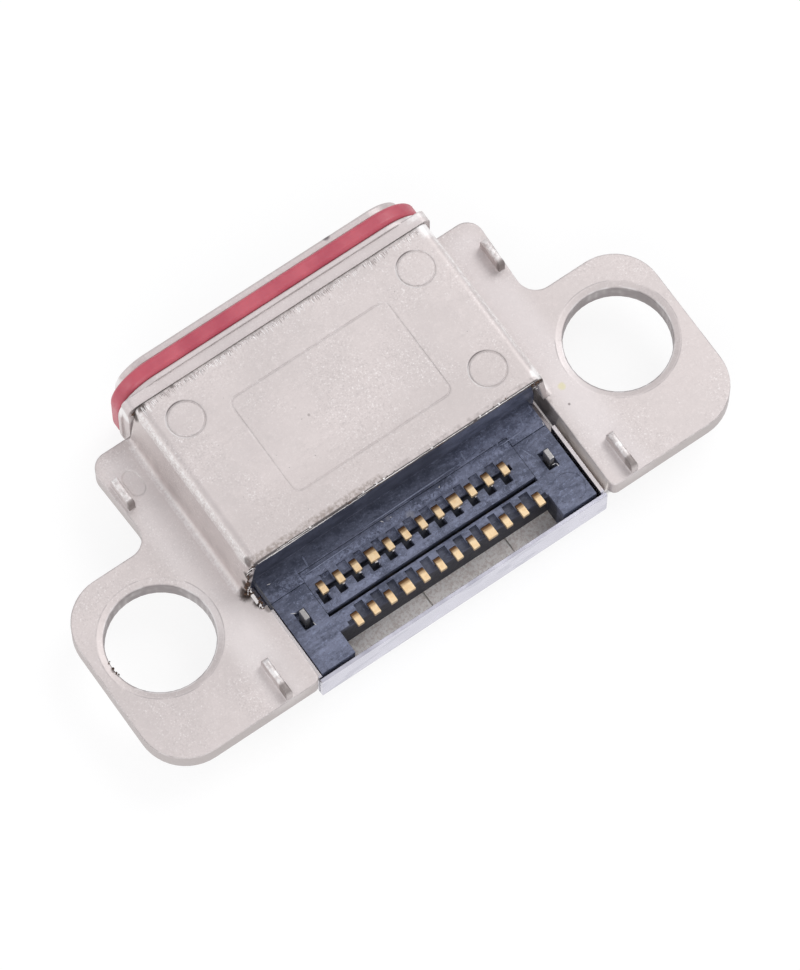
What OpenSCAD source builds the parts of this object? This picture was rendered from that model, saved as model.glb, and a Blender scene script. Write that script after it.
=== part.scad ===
// 24-way reversible plug socket with a screw-down bracket, sealed at its mouth.
// X runs along the two ears, -Y is the way the mouth faces, +Z is the side with the solder tails.
// The origin is midway between the two screw holes, on the ears' upper face, which is the mouth's axis.

/* [Bracket] */
// Width over both ears
ear_span = 17.54; // [16.6:0.02:19]
// How far an ear reaches towards the mouth from the screw line
ear_front = 2.17; // [1.9:0.01:2.6]
// How far an ear reaches to the rear from the screw line
ear_rear = 3.17; // [2.9:0.01:3.5]
// Thickness of the ears and flanges
plate_t = 0.6; // [0.4:0.05:0.9]
// Distance from a screw hole's centre to the ear's outer edge
hole_inset = 1.82; // [1.75:0.01:2.2]
// Diameter of a screw hole
hole_d = 2.8; // [2:0.05:3]
// Width of the pressed ring round a screw hole
ring_w = 0.17; // [0.05:0.01:0.25]
// Depth of the pressed ring
ring_depth = 0.06; // [0.02:0.01:0.15]
// Width over both front flanges
flange_span = 11.74; // [11.6:0.02:12.2]
// How much narrower the flanges are where they meet the ears
flange_taper = 0.22; // [0:0.02:0.24]
// How far the front flanges reach towards the mouth
flange_front = 4.84; // [4.76:0.02:4.9]
// Radius of an ear's outer corners
ear_r = 1.3; // [0.6:0.05:2]
// Radius of the hollow corner between flange and ear
neck_corner_r = 0.54; // [0.3:0.02:1]
// Radius of a flange's front corner
flange_r = 0.45; // [0.1:0.05:0.8]
// Radius of the corner beside the rear wall
heel_r = 0.2; // [0.1:0.02:0.4]
// Width of the notch in the +X wing beside the housing's ledge
wing_notch = 0.2; // [0.1:0.02:0.3]
// How far the inner face of the -X wing slopes
wing_slope = 0.14; // [0.06:0.02:0.2]

/* [Hood] */
// Sheet thickness on top of the hood
hood_t = 0.18; // [0.12:0.01:0.3]
// Thickness of the hood's side walls
hood_side_t = 0.14; // [0.12:0.01:0.2]
// How much narrower the hood is on top than at its foot
hood_draft = 0.46; // [0:0.02:0.5]
// Outer radius of the bend along the hood's sides
hood_r = 0.26; // [0.2:0.02:0.4]
// Radius of the hollow bend at the hood's foot
hood_foot_r = 0.15; // [0.05:0.05:0.25]
// How far the hood reaches towards the mouth
hood_front = 4.79; // [4.6:0.01:4.81]
// How far the hood reaches to the rear
hood_rear = 0.26; // [0.24:0.01:0.4]
// Radius of the mark that a spot weld leaves
weld_r = 0.5; // [0.3:0.05:0.6]
// Depth of the weld marks and of the pressed outline
mark_depth = 0.02; // [0.01:0.01:0.04]
// Line width of the weld marks and of the pressed outline
mark_w = 0.04; // [0.02:0.01:0.06]

/* [Locating tabs] */
// Thickness of the four raised tabs
tab_t = 0.18; // [0.14:0.01:0.22]
// Height of a front tab above the flange
front_tab_h = 0.48; // [0.3:0.02:0.8]
// Height of a rear tab above the ear
rear_tab_h = 0.42; // [0.3:0.02:0.8]
// Length of a front tab
front_tab_len = 0.84; // [0.5:0.02:1.2]
// Distance of a front tab from the middle line
front_tab_x = 5.62; // [5.3:0.02:5.66]
// Distance of a front tab's middle in front of the screw line
front_tab_y = 3.6; // [3.2:0.05:4]
// Length of a rear tab
rear_tab_len = 1.12; // [0.6:0.02:1.3]
// Distance of a rear tab from the middle line
rear_tab_x = 5.22; // [5.1:0.02:5.4]
// Gap between a rear tab's end and the ear's rear edge
rear_tab_gap = 0.04; // [0:0.01:0.4]

/* [Mouth shell] */
// Inner width of the mouth
mouth_w = 8.34; // [8.3:0.01:8.4]
// Inner height of the mouth
mouth_h = 2.56; // [2.5:0.01:2.6]
// Wall thickness of the shell's plain tube
shell_t = 0.25; // [0.2:0.01:0.28]
// How far the mouth stands in front of the screw line
mouth_front = 5.95; // [5.85:0.05:6.4]
// Where the shell ends in front of the screw line
shell_end = 0.25; // [0.2:0.01:0.4]
// Lead-in round the mouth
lead_in = 0.04; // [0.02:0.01:0.05]
// Wall at the ends of the neck that carries the seal
neck_side = 0.08; // [0.08:0.01:0.12]
// Wall above and below the neck
neck_rise = 0.22; // [0.18:0.01:0.24]
// Radius of the neck's corners
neck_r = 0.88; // [0.8:0.02:1]
// How far the lip stands out from the neck
lip_flare = 0.03; // [0.01:0.01:0.06]
// Width of the lip from front to rear
lip_w = 0.2; // [0.14:0.01:0.26]
// Radius of the lip's outer edge
lip_r = 0.06; // [0.02:0.01:0.06]
// How far the collar stands out beyond the shell at its ends
collar_side = 0.21; // [0.16:0.01:0.3]
// How far the collar stands out above and below the shell
collar_rise = 0.14; // [0.08:0.01:0.18]
// Radius of the collar's four corners
collar_r = 1.15; // [1:0.05:1.3]
// Width of the collar from front to rear
collar_w = 0.14; // [0.1:0.01:0.2]
// How far the square band behind the collar stands out at its ends
band_side = 0.14; // [0.1:0.01:0.16]
// How far the band stands out above and below the shell
band_rise = 0.07; // [0.04:0.01:0.1]
// Width of the band from front to rear
band_w = 0.29; // [0.2:0.01:0.4]
// Radius of the band's four corners
band_r = 0.22; // [0.1:0.02:0.3]

/* [Seal] */
// Thickness of the seal at its ends
seal_side = 0.33; // [0.28:0.01:0.36]
// Thickness of the seal above and below the neck
seal_rise = 0.21; // [0.16:0.01:0.26]
// Radius of the seal's four corners
seal_corner_r = 1.15; // [1:0.05:1.25]
// Radius of the seal's outer edges
seal_r = 0.12; // [0.04:0.01:0.12]
// Play between the seal and the lip
seal_play = 0.03; // [0.01:0.01:0.06]

/* [Tongue] */
// Width of the tongue
tongue_w = 6.69; // [6.6:0.01:6.75]
// Thickness of the tongue
tongue_t = 0.7; // [0.65:0.01:0.75]
// Gap from the mouth's edge back to the tongue's tip
tongue_recess = 0.78; // [0.4:0.02:1]
// Radius of the tongue's front corners
tongue_r = 0.3; // [0.1:0.05:0.5]
// Radius along the tongue's nose
nose_r = 0.16; // [0.05:0.01:0.25]
// Width of the thick root behind the tongue
root_w = 7.1; // [7.1:0.02:7.3]
// Thickness of the root
root_t = 1.6; // [1.3:0.05:1.8]
// Radius of the root's front edges
root_r = 0.08; // [0.06:0.01:0.12]
// How far in front of the screw line the root begins
root_front = 1.55; // [1.4:0.05:2]
// Thickness of the housing's wall behind the shell
bulkhead_t = 0.24; // [0.2:0.01:0.3]
// Open gap between this wall and the hood's sides
bulkhead_gap = 0.11; // [0.06:0.01:0.14]
// How far in front of the screw line the mouth's floor lies
stop_front = 0.75; // [0.7:0.01:0.85]
// Thickness of the steel plate inside the tongue
mid_plate_t = 0.13; // [0.1:0.01:0.16]
// Distance of the steel plate's front edge behind the tongue's tip
mid_plate_inset = 0.35; // [0.3:0.05:0.6]
// Depth of the latch notches in the steel plate's sides
latch_depth = 0.15; // [0.05:0.01:0.2]
// Radius of the latch notches
latch_r = 0.35; // [0.25:0.05:0.5]
// Thickness of the two ground plates on the root
ground_plate_t = 0.1; // [0.06:0.01:0.14]

/* [Contacts] */
// Contacts in each row
contact_count = 12; // [8:1:12]
// Spacing of the contacts
pitch = 0.5; // [0.46:0.01:0.5]
// Width of a signal contact
signal_w = 0.18; // [0.16:0.01:0.2]
// Width of the two wide contacts in each row
wide_w = 0.27; // [0.2:0.01:0.28]
// Thickness of the contact strip
contact_t = 0.12; // [0.08:0.01:0.13]
// Sideways step of each row's tails, one row each way
tail_stagger = 0.125; // [0.08:0.005:0.14]
// Thickness of the moulding left beside each tail
finger_t = 0.03; // [0.02:0.01:0.04]
// Distance of the four longer pads' front ends behind the tongue's tip
power_pad_inset = 0.3; // [0.2:0.02:0.4]
// Distance of the other pads' front ends behind the tongue's tip
signal_pad_inset = 0.6; // [0.5:0.02:0.9]
// Depth of the tails' solder face below the ears' upper face
tail_drop = 0.15; // [0.08:0.01:0.18]
// Where the front row of tails rises, behind the screw line
front_tail_y = 0.93; // [0.9:0.01:0.96]
// Where the rear row of tails rises, behind the screw line
rear_tail_y = 2.09; // [2.06:0.01:2.12]
// Length of a front-row tail
front_tail_len = 0.38; // [0.3:0.01:0.4]
// Length of a rear-row tail
rear_tail_len = 0.4; // [0.3:0.01:0.44]

/* [Contact carriers] */
// Depth of the rear mouldings' upper face below the ears' upper face
block_drop = 0.25; // [0.22:0.01:0.3]
// How far the housing's ledge stands above the rear mouldings
ledge_rise = 0.05; // [0.02:0.01:0.08]
// Width over the rear mouldings
block_w = 8.32; // [8.2:0.02:8.36]
// How far the front carrier reaches beyond the middle of the outermost contacts
field_margin = 0.4; // [0.36:0.01:0.44]
// Where the front carrier begins, behind the screw line
field_front = 0.5; // [0.46:0.01:0.56]
// Where the front carrier ends
field_rear = 1.75; // [1.7:0.01:1.8]
// Where the rear carrier's bar begins
bar_front = 1.87; // [1.84:0.01:1.9]
// Where the rear carrier's bar ends
bar_rear = 2.32; // [2.26:0.01:2.4]
// Where the end blocks meet the main housing
seam_y = 0.78; // [0.7:0.01:0.9]
// Depth of the troughs under the tails
pocket_depth = 0.36; // [0.2:0.02:0.4]
// Depth of the tiles between the front-row tails
tile_depth = 0.12; // [0.06:0.01:0.2]
// Length of the tiles from front to rear
tile_len = 0.28; // [0.2:0.01:0.3]
// Width of the trough behind the tiles
trough_w = 0.17; // [0.12:0.01:0.2]
// Length of the notches behind the front-row tails
notch_len = 0.25; // [0.12:0.01:0.28]
// Width of these notches
notch_w = 0.24; // [0.16:0.01:0.3]
// How far these notches sit beside their tails
notch_shift = 0.08; // [0:0.01:0.1]
// Width of the bar in front of the tiles between the rear-row tails
bar_edge = 0.07; // [0.04:0.01:0.12]
// Width of the hole that each peg of the steel plate stands in
peg_hole_w = 0.31; // [0.24:0.01:0.4]
// Length of the peg holes
peg_hole_len = 0.54; // [0.4:0.02:0.6]

/* [Rear cover] */
// Sheet thickness of the rear cover
cover_t = 0.1; // [0.08:0.01:0.12]
// Depth of the cover's upper edge below the ears' upper face
cover_drop = 0.3; // [0.26:0.01:0.5]
// How far the cover sits off the middle towards -X
cover_shift = 0.045; // [0:0.005:0.05]
// How far behind the seam the cover's side walls begin
cover_setback = 0.1; // [0.04:0.01:0.2]
// Outer radius of the cover's bends
cover_r = 0.28; // [0.18:0.02:0.4]
// Width of the slits in the cover's floor and at its rear corners
slit_w = 0.04; // [0.02:0.01:0.08]

/* [Fits] */
// Gap between steel pieces that lie against each other
steel_gap = 0.01; // [0.005:0.005:0.02]
// Gap between the hood's side walls and the shell
hood_gap = 0.04; // [0.03:0.01:0.06]
// Gap between a moulding and what it holds
mould_gap = 0.01; // [0.005:0.005:0.02]
// Mean open gap between the cover's sides and the mouldings
cover_gap = 0.065; // [0.06:0.005:0.08]
// Open gap between the cover's rear wall and the end blocks
cover_rear_gap = 0.085; // [0.04:0.005:0.12]
// Gap between the cover and the wings
wing_gap = 0.02; // [0.01:0.01:0.03]

/* [Hidden] */
$fn = 64;
STEEL = [0.79, 0.76, 0.73];
BRIGHT = [0.82, 0.83, 0.88];
RUBBER = [0.78, 0.27, 0.35];
LCP = [0.20, 0.23, 0.32];
GOLD = [0.86, 0.68, 0.40];
// Small overlap that lets two parts of one solid join
join = 0.02;
// Extra length that lets a cut run clear through
clear = 1;

// Heights
shell_half_w = mouth_w / 2 + shell_t;
shell_half_h = mouth_h / 2 + shell_t;
hood_top = shell_half_h + steel_gap + hood_t;
hood_inner = shell_half_w + hood_gap;
hood_half_w = hood_inner + hood_side_t;
hood_top_half_w = hood_half_w - hood_draft / 2;
neck_half_w = mouth_w / 2 + neck_side;
neck_half_h = mouth_h / 2 + neck_rise;
floor_bottom = -shell_half_h;
floor_top = floor_bottom + cover_t;
block_top = -block_drop;
ledge_top = block_top + ledge_rise;
block_bottom = floor_top + mould_gap;
pocket_floor = block_top - pocket_depth;

// Places along Y
shell_rear = -shell_end;
collar_front = -flange_front - steel_gap - band_w - collar_w;
collar_rear = collar_front + collar_w;
band_rear = collar_rear + band_w;
seal_rear = collar_front - steel_gap;
seal_front = -mouth_front + lip_w + seal_play;
bulkhead_front = shell_rear + mould_gap;
housing_face = bulkhead_front + bulkhead_t;
tongue_front = -mouth_front + tongue_recess;
notch_rear = seam_y + wing_gap;
cover_rear = ear_rear;
wall_front = cover_rear - cover_t;
block_rear = wall_front - cover_rear_gap;
tile_front = front_tail_y - contact_t / 2 - 0.05;
trough_front = tile_front + tile_len;
trough_rear = trough_front + trough_w;
comb_front = bar_front + bar_edge;
comb_rear = rear_tail_y + contact_t + mould_gap;
side_wall_front = seam_y + cover_setback;
tile_floor = block_top - tile_depth;

// Places along X: the cover's outer faces and the wings' inner edges
cover_half_w = block_w / 2 + cover_gap + cover_t;
cover_bend = cover_r - cover_t;
near_wing_x = cover_half_w - cover_shift + wing_gap;
far_wing_x = cover_half_w + cover_shift + wing_gap;

// Width of the front carrier between the two end blocks
field_w = (contact_count - 1) * pitch + 2 * field_margin;

// Contacts: heights of the strips' middles, and where they turn
pad_z = (tongue_t - contact_t) / 2;
tail_z = -tail_drop - contact_t / 2;
under_a = pocket_floor - contact_t;
under_b = under_a - 3 * contact_t;
drop_a = housing_face - 1.5 * contact_t;
drop_b = drop_a - 3 * contact_t;
bend_r = contact_t;
POWER = [1, 4, 9, 12];
power_pad_front = tongue_front + power_pad_inset;
signal_pad_front = tongue_front + signal_pad_inset;

// Mid plate: its wings in the root, the legs under the end blocks and the pegs at their ends
latch_y = -3.2;
leg_w = 0.2;
leg_x = field_w / 2 + leg_w;
wing_half = leg_x + leg_w / 2;
mid_rear = drop_b - contact_t;
leg_z = -0.7;
leg_bend = 0.15;
peg_x = 3.7;
peg_y = 1.56;
peg_len = 0.29;
peg_top = 0.12;

// Marks on the hood and the flange, as [x, y]
WELDS = [[3.5, -3.85], [-3.46, -3.89], [-3.39, -0.67]];
PRESSED_LOW = [-2.36, -3.67];
PRESSED_HIGH = [2.4, -0.65];
DIMPLE = [5.2, -3.75];
EJECTOR = [-3.69, 2.48];
SLITS = [-1.85, 0.65];

// Outlines

function unit(v) = v / norm(v);

function reversed(list) = [for (i = [len(list) - 1:-1:0]) list[i]];

// The four corners of a rectangle, from its low corner round to the last one
function corners(low, high) = [low, [high[0], low[1]], high, [low[0], high[1]]];

// Points of the arc of radius r that rounds corner b between a and c
function corner_arc(a, b, c, r, n) =
    let (
        u = unit(a - b),
        v = unit(c - b),
        half = acos(u * v) / 2,
        start = b + u * r / tan(half),
        finish = b + v * r / tan(half),
        centre = b + unit(u + v) * r / sin(half),
        a0 = atan2(start[1] - centre[1], start[0] - centre[0]),
        a1 = atan2(finish[1] - centre[1], finish[0] - centre[0]),
        sweep = (a1 - a0 + 540) % 360 - 180
    )
    [for (i = [0:n]) centre + r * [cos(a0 + sweep * i / n), sin(a0 + sweep * i / n)]];

// Closed outline with each corner rounded by its own radius, 0 for a sharp one
function rounded(points, radii, n = 8) =
    let (count = len(points))
    [for (i = [0:count - 1])
        each radii[i] <= 0
            ? [points[i]]
            : corner_arc(points[(i + count - 1) % count], points[i], points[(i + 1) % count], radii[i], n)];

// The path moved sideways by a distance, with mitred corners
function beside(path, distance) =
    let (last = len(path) - 1)
    [for (i = [0:last])
        let (
            before = unit(i == 0 ? path[1] - path[0] : path[i] - path[i - 1]),
            after = i == last ? before : unit(path[i + 1] - path[i]),
            n0 = [-before[1], before[0]],
            n1 = [-after[1], after[0]]
        )
        path[i] + distance * (n0 + n1) / (1 + n0 * n1)];

// Outline of a strip of thickness t that follows a path and bends at its inner corners
function strip_outline(path, t, r, n = 4) =
    let (
        last = len(path) - 1,
        turns = [for (i = [0:last])
            i == 0 || i == last ? 0 : sign(cross(path[i] - path[i - 1], path[i + 1] - path[i]))],
        left_r = [for (turn = turns) turn == 0 ? 0 : r - turn * t / 2],
        right_r = [for (turn = turns) turn == 0 ? 0 : r + turn * t / 2]
    )
    rounded(
        concat(beside(path, t / 2), reversed(beside(path, -t / 2))),
        concat(left_r, reversed(right_r)),
        n
    );

// Placing

// Extrudes a Y-Z outline over a width that is centred on x
module across(x, w) {
    translate([x - w / 2, 0, 0]) rotate([90, 0, 90]) linear_extrude(w) children();
}

// Extrudes an X-Z outline from y0 back to y1
module along(y0, y1) {
    translate([0, y1, 0]) rotate([90, 0, 0]) linear_extrude(y1 - y0) children();
}

// Extrudes an X-Y outline from z0 up to z1
module upright(z0, z1) {
    translate([0, 0, z0]) linear_extrude(z1 - z0) children();
}

// A box between two corners
module block(low, high) {
    translate(low) cube(high - low);
}

module both_sides() {
    children();
    mirror([1, 0, 0]) children();
}

// Race-track outline of a given overall width and height
module racetrack(w, h) {
    square([w - h, h], center = true);
    for (end = [-1, 1]) translate([end * (w - h) / 2, 0]) circle(d = h);
}

// Sweeps a profile round a rounded rectangle in the X-Z plane. The profile is drawn as
// [distance from the corner centre, y], and the spans lie between the corner centres.
module frame_sweep(span_x, span_z) {
    for (k = [0:3]) {
        reach = (k % 2 == 0 ? span_x : span_z) / 2;
        run = (k % 2 == 0 ? span_z : span_x) / 2;
        rotate([0, -90 * k, 0]) translate([reach, 0, -run]) {
            rotate([-90, 0, 0]) rotate_extrude(angle = 90) children();
            if (run > 0) linear_extrude(2 * run) children();
        }
    }
}

// Plate in the X-Z plane from front back to rear, with corners of radius r and with its outer
// edges rounded by front_r and rear_r
module rounded_plate(half_w, half_h, r, front, rear, front_r = 0, rear_r = 0) {
    middle = [half_w - r, half_h - r];
    frame_sweep(2 * middle[0], 2 * middle[1])
        polygon(rounded(corners([0, front], [r, rear]), [0, front_r, rear_r, 0], 6));
    block([-middle[0] - join, front, -middle[1] - join], [middle[0] + join, rear, middle[1] + join]);
}

// Bracket

// Inner edge of a wing from the heel to the front: beside the cover at x, wider by notch beside
// the ledge, and at the hood's inner face in front of that
function wing_edge(x, notch) = concat(
    [[x, ear_rear]],
    notch > 0 ? [[x, notch_rear], [x + notch, notch_rear]] : [],
    [[x + notch, shell_rear], [hood_inner, shell_rear]]
);

module wing_plate(x, notch) {
    edge = wing_edge(x, notch);
    outline = concat([
        [hood_inner, -flange_front],
        [flange_span / 2, -flange_front],
        [(flange_span - flange_taper) / 2, -ear_front],
        [ear_span / 2, -ear_front],
        [ear_span / 2, ear_rear]
    ], edge);
    radii = concat(
        [0, flange_r, neck_corner_r, ear_r, ear_r, heel_r],
        [for (i = [2:len(edge)]) 0]);
    upright(-plate_t, 0) polygon(rounded(outline, radii, 12));
}

// Sloping toe along the inner edge of the -X wing, down to the cover
module wing_toe() {
    top = far_wing_x + wing_slope;
    along(shell_rear, ear_rear - heel_r) polygon([
        [-top - join, 0],
        [-top, 0],
        [-far_wing_x, -plate_t],
        [-top - join, -plate_t]
    ]);
}

// Half of the hood's section: top, side bend, side wall and the bend at its foot
module hood_section() {
    inner_top = hood_top_half_w - hood_side_t;
    foot_reach = hood_half_w + 2 * hood_foot_r;
    outline = [
        [-join, hood_top],
        [hood_top_half_w, hood_top],
        [hood_half_w, 0],
        [foot_reach, 0],
        [foot_reach, -join],
        [hood_inner, -join],
        [inner_top, hood_top - hood_t],
        [-join, hood_top - hood_t]
    ];
    bend = hood_r - hood_side_t;
    polygon(rounded(outline, [0, hood_r, hood_foot_r, 0, 0, 0, bend, 0]));
}

// Upright tab whose ends and top edge are rounded, centred on x and y
module locating_tab(x, y, len, h) {
    half = [tab_t, len] / 2;
    intersection() {
        across(x, tab_t) polygon(rounded(
            corners([y - half[1], -join], [y + half[1], h]), [0, 0, tab_t, tab_t]));
        along(y - half[1], y + half[1]) polygon(rounded(
            corners([x - half[0], -join], [x + half[0], h]), [0, 0, half[0] * 0.8, half[0] * 0.8]));
    }
}

// Screw hole with the ring that the press leaves round its rim
module screw_hole() {
    translate([ear_span / 2 - hole_inset, 0, 0]) {
        translate([0, 0, -plate_t - clear]) cylinder(d = hole_d, h = plate_t + 2 * clear);
        translate([0, 0, -ring_depth]) cylinder(d1 = hole_d, d2 = hole_d + 2 * ring_w, h = ring_depth);
        cylinder(d = hole_d + 2 * ring_w, h = clear);
    }
}

// Ring-shaped line that a spot weld leaves on the hood
module weld_mark() {
    difference() {
        cylinder(r = weld_r, h = clear);
        cylinder(r = weld_r - mark_w, h = clear);
    }
}

// Line of a rounded rectangle pressed into the hood
module pressed_outline() {
    radius = 0.25;
    line = [mark_w, mark_w];
    inner_r = radius - mark_w;
    linear_extrude(clear) difference() {
        polygon(rounded(corners(PRESSED_LOW, PRESSED_HIGH), [radius, radius, radius, radius]));
        polygon(rounded(
            corners(PRESSED_LOW + line, PRESSED_HIGH - line), [inner_r, inner_r, inner_r, inner_r]));
    }
}

// Shallow oval beside the tab, left by the punch
module dimple() {
    width = 0.42;
    length = 0.74;
    translate([DIMPLE[0], DIMPLE[1], -mark_depth]) linear_extrude(clear)
        rotate(90) racetrack(length, width);
}

module bracket() {
    rear_tab_y = ear_rear - rear_tab_gap - rear_tab_len / 2;
    color(STEEL) difference() {
        union() {
            wing_plate(near_wing_x, wing_notch);
            mirror([1, 0, 0]) wing_plate(far_wing_x + wing_slope, 0);
            wing_toe();
            both_sides() {
                along(-hood_front, hood_rear) hood_section();
                locating_tab(front_tab_x, -front_tab_y, front_tab_len, front_tab_h);
                locating_tab(rear_tab_x, rear_tab_y, rear_tab_len, rear_tab_h);
            }
        }
        both_sides() screw_hole();
        for (place = WELDS) translate([place[0], place[1], hood_top - mark_depth]) weld_mark();
        translate([0, 0, hood_top - mark_depth / 2]) pressed_outline();
        dimple();
    }
}

// Mouth shell and seal

// Lip, neck, collar and square band on a plain tube, with a chamfer round the mouth
module mouth_shell() {
    lip_front = -mouth_front;
    lip_rear = lip_front + lip_w;
    half_h = mouth_h / 2;
    color(STEEL) difference() {
        union() {
            rounded_plate(neck_half_w + lip_flare, neck_half_h + lip_flare, neck_r + lip_flare,
                lip_front, lip_rear, lip_r, lip_r / 3);
            rounded_plate(neck_half_w, neck_half_h, neck_r, lip_rear - join, collar_front + join);
            rounded_plate(shell_half_w + collar_side, shell_half_h + collar_rise, collar_r,
                collar_front, collar_rear, collar_w / 4, collar_w / 8);
            rounded_plate(shell_half_w + band_side, shell_half_h + band_rise, band_r,
                collar_rear - join, band_rear);
            along(band_rear - join, shell_rear) racetrack(2 * shell_half_w, 2 * shell_half_h);
        }
        along(lip_front - clear, shell_rear + clear) racetrack(mouth_w, mouth_h);
        frame_sweep(mouth_w - mouth_h, 0) polygon([
            [half_h - join, lip_front - join],
            [half_h + lead_in + join, lip_front - join],
            [half_h - join, lip_front + lead_in + join]
        ]);
    }
}

module seal_ring() {
    inner_w = neck_half_w + steel_gap;
    inner_h = neck_half_h + steel_gap;
    color(RUBBER) difference() {
        rounded_plate(inner_w + seal_side, inner_h + seal_rise, seal_corner_r,
            seal_front, seal_rear, seal_r, seal_r);
        rounded_plate(inner_w, inner_h, neck_r + steel_gap, seal_front - join, seal_rear + join);
    }
}

// Contacts

function contact_x(i) = (i - (contact_count + 1) / 2) * pitch;

function is_power(i) = len(search(i, POWER)) > 0;

// The two inner power contacts are the wide ones
function contact_w(i) = i == POWER[1] || i == POWER[2] ? wide_w : signal_w;

function pad_front(i) = is_power(i) ? power_pad_front : signal_pad_front;

// One strip: a pad on the tongue at height pad, down at y = drop, back at height under,
// up at y = tail and out to the solder tail of length len. The tail part is moved sideways
// by step. grow widens it all round, for the slot that a moulding keeps for it.
module contact_strip(x, step, w, front, pad, drop, under, tail, len, grow = 0) {
    t = contact_t + 2 * grow;
    rise = tail + contact_t / 2;
    end = tail + len + grow;
    across(x, w + 2 * grow)
        polygon(strip_outline([[front - grow, pad], [drop, pad], [drop, under - t / 2]], t, bend_r));
    across(x + step, w + 2 * grow)
        polygon(strip_outline(
            [[drop, pad - 2 * bend_r + grow], [drop, under], [rise, under], [rise, tail_z], [end, tail_z]],
            t, bend_r));
}

module contact_a(i, grow = 0) {
    contact_strip(contact_x(i), tail_stagger, contact_w(i), pad_front(i),
        pad_z, drop_a, under_a, front_tail_y, front_tail_len, grow);
}

module contact_b(i, grow = 0) {
    contact_strip(contact_x(i), -tail_stagger, contact_w(i), pad_front(i),
        -pad_z, drop_b, under_b, rear_tail_y, rear_tail_len, grow);
}

module contact_slots() {
    for (i = [1:contact_count]) {
        contact_a(i, mould_gap);
        contact_b(i, mould_gap);
    }
}

// Mid plate and ground plates

// Leg down from the wing, back under the end block, and the peg that is folded up at its end
module mid_plate_leg(grow) {
    t = mid_plate_t + 2 * grow;
    across(leg_x, leg_w + 2 * grow) polygon(strip_outline(
        [[mid_rear - leg_w, 0], [drop_a, 0], [drop_a, leg_z], [peg_y + peg_len / 2 + grow, leg_z]],
        t, leg_bend));
    along(peg_y - peg_len / 2 - grow, peg_y + peg_len / 2 + grow) polygon(strip_outline(
        [[leg_x, leg_z], [peg_x, leg_z], [peg_x, peg_top + grow]], t, leg_bend));
}

// grow widens the plate all round, for the slot that the mouldings keep for it
module mid_plate_shape(grow = 0) {
    half_t = mid_plate_t / 2 + grow;
    half_w = tongue_w / 2 + grow;
    nose = tongue_front + mid_plate_inset;
    difference() {
        union() {
            upright(-half_t, half_t)
                polygon(corners([-half_w, nose - grow], [half_w, -root_front + join]));
            block(
                [-wing_half - grow, -root_front - grow, -half_t],
                [wing_half + grow, mid_rear + grow, half_t]);
        }
        if (grow == 0) both_sides()
            translate([tongue_w / 2 + latch_r - latch_depth, latch_y, -clear])
                cylinder(r = latch_r, h = 2 * clear);
    }
    both_sides() mid_plate_leg(grow);
}

module mid_plate() {
    color(STEEL) mid_plate_shape();
}

// Plate on the root's upper face, folded down over its front edge
module ground_plate() {
    z = root_t / 2 + mould_gap + ground_plate_t / 2;
    y = -root_front - mould_gap - ground_plate_t / 2;
    fold = tongue_t / 2 + ground_plate_t;
    color(BRIGHT) across(0, tongue_w - tongue_r)
        polygon(strip_outline(
            [[-stop_front - mould_gap, z], [y, z], [y, fold]], ground_plate_t, ground_plate_t));
}

module ground_plate_upper() {
    ground_plate();
}

module ground_plate_lower() {
    mirror([0, 0, 1]) ground_plate();
}

// Mouldings

// A slice of the space inside the rear cover, from one place along Y to another
module cover_slice(front, rear, top) {
    along(front, rear) polygon(rounded(
        corners([-block_w / 2, block_bottom], [block_w / 2, top]), [cover_bend, cover_bend, 0, 0]));
}

// Tongue blade: rounded in plan and at its nose
module tongue_blade() {
    half_w = tongue_w / 2;
    half_t = tongue_t / 2;
    rear = -root_front + join;
    intersection() {
        upright(-half_t, half_t) polygon(rounded(
            corners([-half_w, tongue_front], [half_w, rear]), [tongue_r, tongue_r, 0, 0]));
        across(0, tongue_w + clear) polygon(rounded(
            corners([tongue_front, -half_t], [rear, half_t]), [nose_r, 0, 0, nose_r]));
    }
}

// Wall that closes the hood behind the shell, down to the wings' lower face
module bulkhead() {
    foot_half = hood_inner - bulkhead_gap;
    top_half = hood_top_half_w - hood_side_t - bulkhead_gap;
    top = hood_top - hood_t - mould_gap;
    along(bulkhead_front, housing_face) polygon(rounded([
        [-foot_half, -plate_t],
        [foot_half, -plate_t],
        [foot_half, 0],
        [top_half, top],
        [-top_half, top],
        [-foot_half, 0]
    ], [0, 0, 0, hood_r, hood_r, 0]));
}

module tongue_housing() {
    bore_w = mouth_w - 2 * mould_gap;
    bore_h = mouth_h - 2 * mould_gap;
    bay_half = field_w / 2 + mould_gap;
    color(LCP) difference() {
        union() {
            tongue_blade();
            across(0, root_w) polygon(rounded(
                corners([-root_front, -root_t / 2], [join - stop_front, root_t / 2]),
                [root_r, 0, 0, root_r]));
            along(-stop_front, bulkhead_front + join) racetrack(bore_w, bore_h);
            bulkhead();
            difference() {
                cover_slice(bulkhead_front, seam_y - mould_gap, ledge_top);
                block([-bay_half, field_front - mould_gap, floor_bottom], [bay_half, clear, clear]);
            }
        }
        contact_slots();
        mid_plate_shape(mould_gap);
    }
}

// Shallow tiles between the neighbouring tails of a row that is moved sideways by step
module tiles(step, front, rear) {
    for (i = [1:contact_count - 1]) {
        low_x = contact_x(i) + contact_w(i) / 2 + finger_t;
        high_x = contact_x(i + 1) - contact_w(i + 1) / 2 - finger_t;
        block([step + low_x, front, tile_floor], [step + high_x, rear, clear]);
    }
}

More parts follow.
